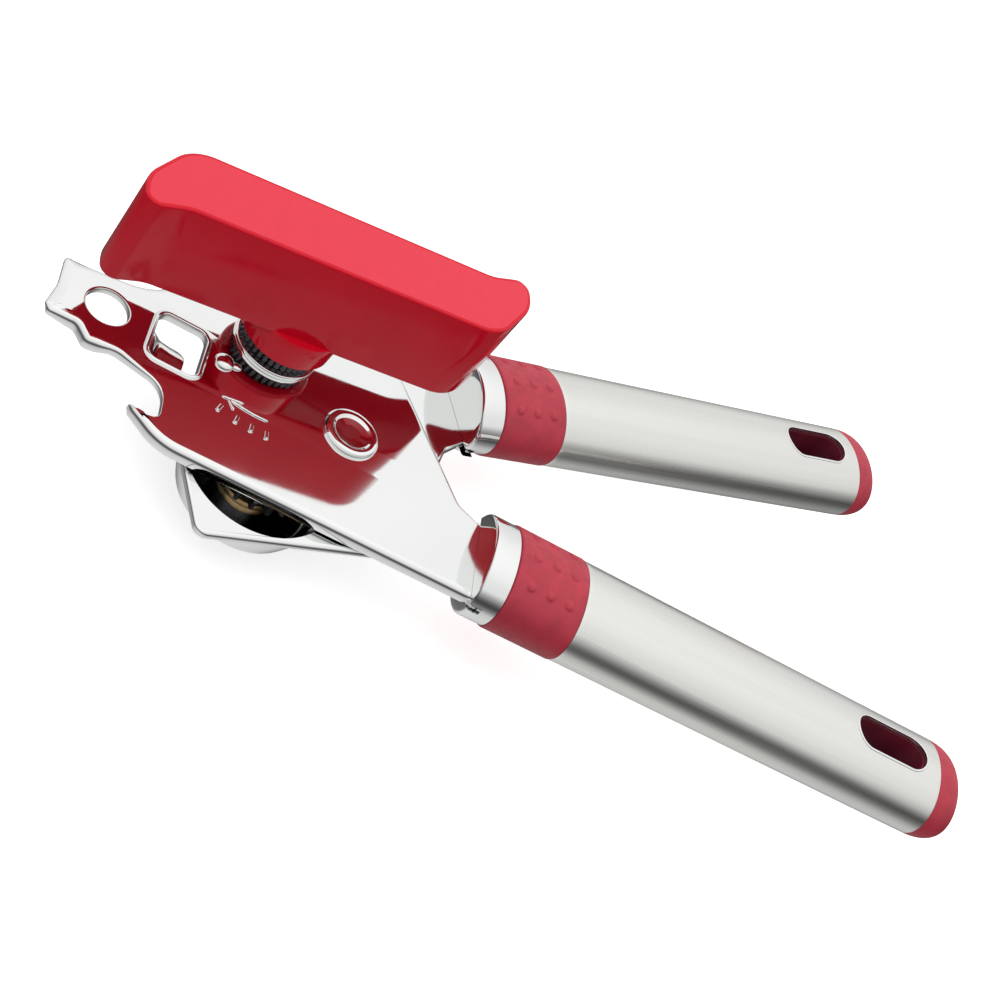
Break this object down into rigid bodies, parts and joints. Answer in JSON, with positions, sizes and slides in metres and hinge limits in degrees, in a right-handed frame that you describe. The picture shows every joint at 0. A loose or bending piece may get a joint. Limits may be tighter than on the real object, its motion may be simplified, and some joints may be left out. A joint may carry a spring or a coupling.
{
  "type": "manual can opener",
  "caption": "Hand-held can opener: two oval steel handles hinged on a rivet, a long red turning knob, a toothed feed wheel, a geared cutting wheel and a notched bottle-opener tip.",
  "frame": {"origin": "centre of the hanging hole, on the front plate's top face (the face under the knob)", "axes": "+X runs from the tip towards the handles, along the lower handle's axis; +Z is the front plate's outward normal, towards the knob (a peg leaves the hanging hole along -Z); +Y completes the right-handed frame and points to the upper handle"},
  "size_m": [0.2089, 0.1165, 0.0501],
  "materials": {
    "chrome_plate": "polished nickel-chrome plating on pressed steel",
    "brushed_steel": "stainless steel, brushed along the handle",
    "turned_steel": "turned or stamped steel, lightly oiled",
    "dark_steel": "dark knurled steel",
    "bronze": "plain bronze bushing",
    "red_rubber": "matte red soft rubber",
    "red_plastic": "glossy red plastic with a satin top",
    "red_core": "dark red moulded plastic"
  },
  "bodies": {
    "front_frame": {"front_plate": "chrome_plate", "pivot_rivet": "chrome_plate", "pivot_washer": "turned_steel", "shaft_bushing": "bronze", "shaft_washer": "chrome_plate", "lower_ferrule": "chrome_plate", "lower_grip_ring": "red_rubber", "lower_handle_tube": "brushed_steel", "lower_handle_core": "red_core", "lower_end_cap": "red_rubber"},
    "back_frame": {"back_plate": "chrome_plate", "cutter_bushing": "bronze", "upper_ferrule": "chrome_plate", "upper_grip_ring": "red_rubber", "upper_handle_tube": "brushed_steel", "upper_handle_core": "red_core", "upper_end_cap": "red_rubber"},
    "knob_drive": {"turn_knob": "red_plastic", "knurled_collar": "dark_steel", "drive_shaft": "turned_steel", "drive_gear": "turned_steel", "feed_wheel": "turned_steel", "shaft_nut": "turned_steel"},
    "cutter": {"driven_gear": "turned_steel", "cutter_shaft": "turned_steel", "cutting_wheel": "turned_steel", "cutter_nut": "turned_steel"}
  },
  "joints": [
    {"name": "handle_pivot", "type": "hinge", "parent": "front_frame", "child": "back_frame", "pos_m": [0.0504, -0.0006, -0.004], "axis": [0, 0, -1], "range_deg": [-12, 23.1]},
    {"name": "knob_spin", "type": "hinge", "parent": "front_frame", "child": "knob_drive", "pos_m": [0.0318, 0.0122, 0], "axis": [0, 0, 1], "continuous": true},
    {"name": "cutter_spin", "type": "hinge", "parent": "back_frame", "child": "cutter", "pos_m": [0.03687, -0.01374, -0.011], "axis": [0, 0, 1], "continuous": true}
  ],
  "couplings": [
    {"joint": "cutter_spin", "follows": "knob_spin", "ratio": -1}
  ]
}
